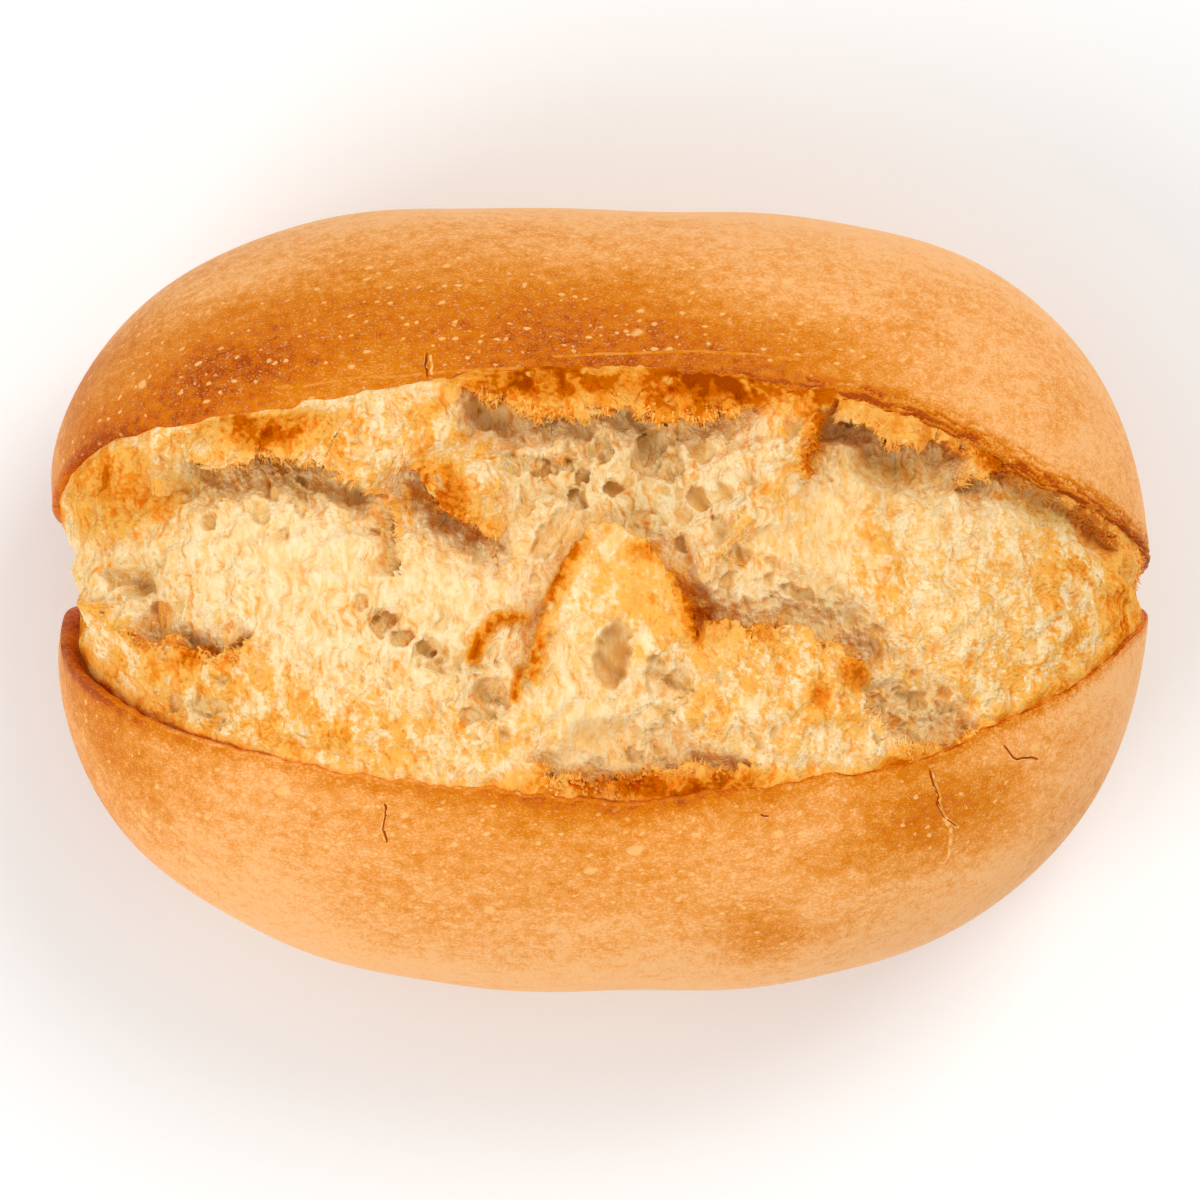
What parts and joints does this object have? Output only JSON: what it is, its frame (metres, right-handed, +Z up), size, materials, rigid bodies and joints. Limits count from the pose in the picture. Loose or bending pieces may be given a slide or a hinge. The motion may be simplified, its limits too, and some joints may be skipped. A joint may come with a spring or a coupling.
{
  "type": "bread roll",
  "caption": "Oval crusty wheat bread roll, slashed along the top and burst open, with smooth crust lobes either side of torn crumb.",
  "frame": {"origin": "middle of the flat sole that the roll rests on, at the bottom of its bounding box", "axes": "+X along the roll and its cleft, +Y across it towards the back lobe, +Z up from the sole"},
  "size_m": [0.1096, 0.0781, 0.0526],
  "materials": {
    "roll": "satin"
  },
  "bodies": {
    "root": {"roll": "roll"}
  },
  "joints": []
}
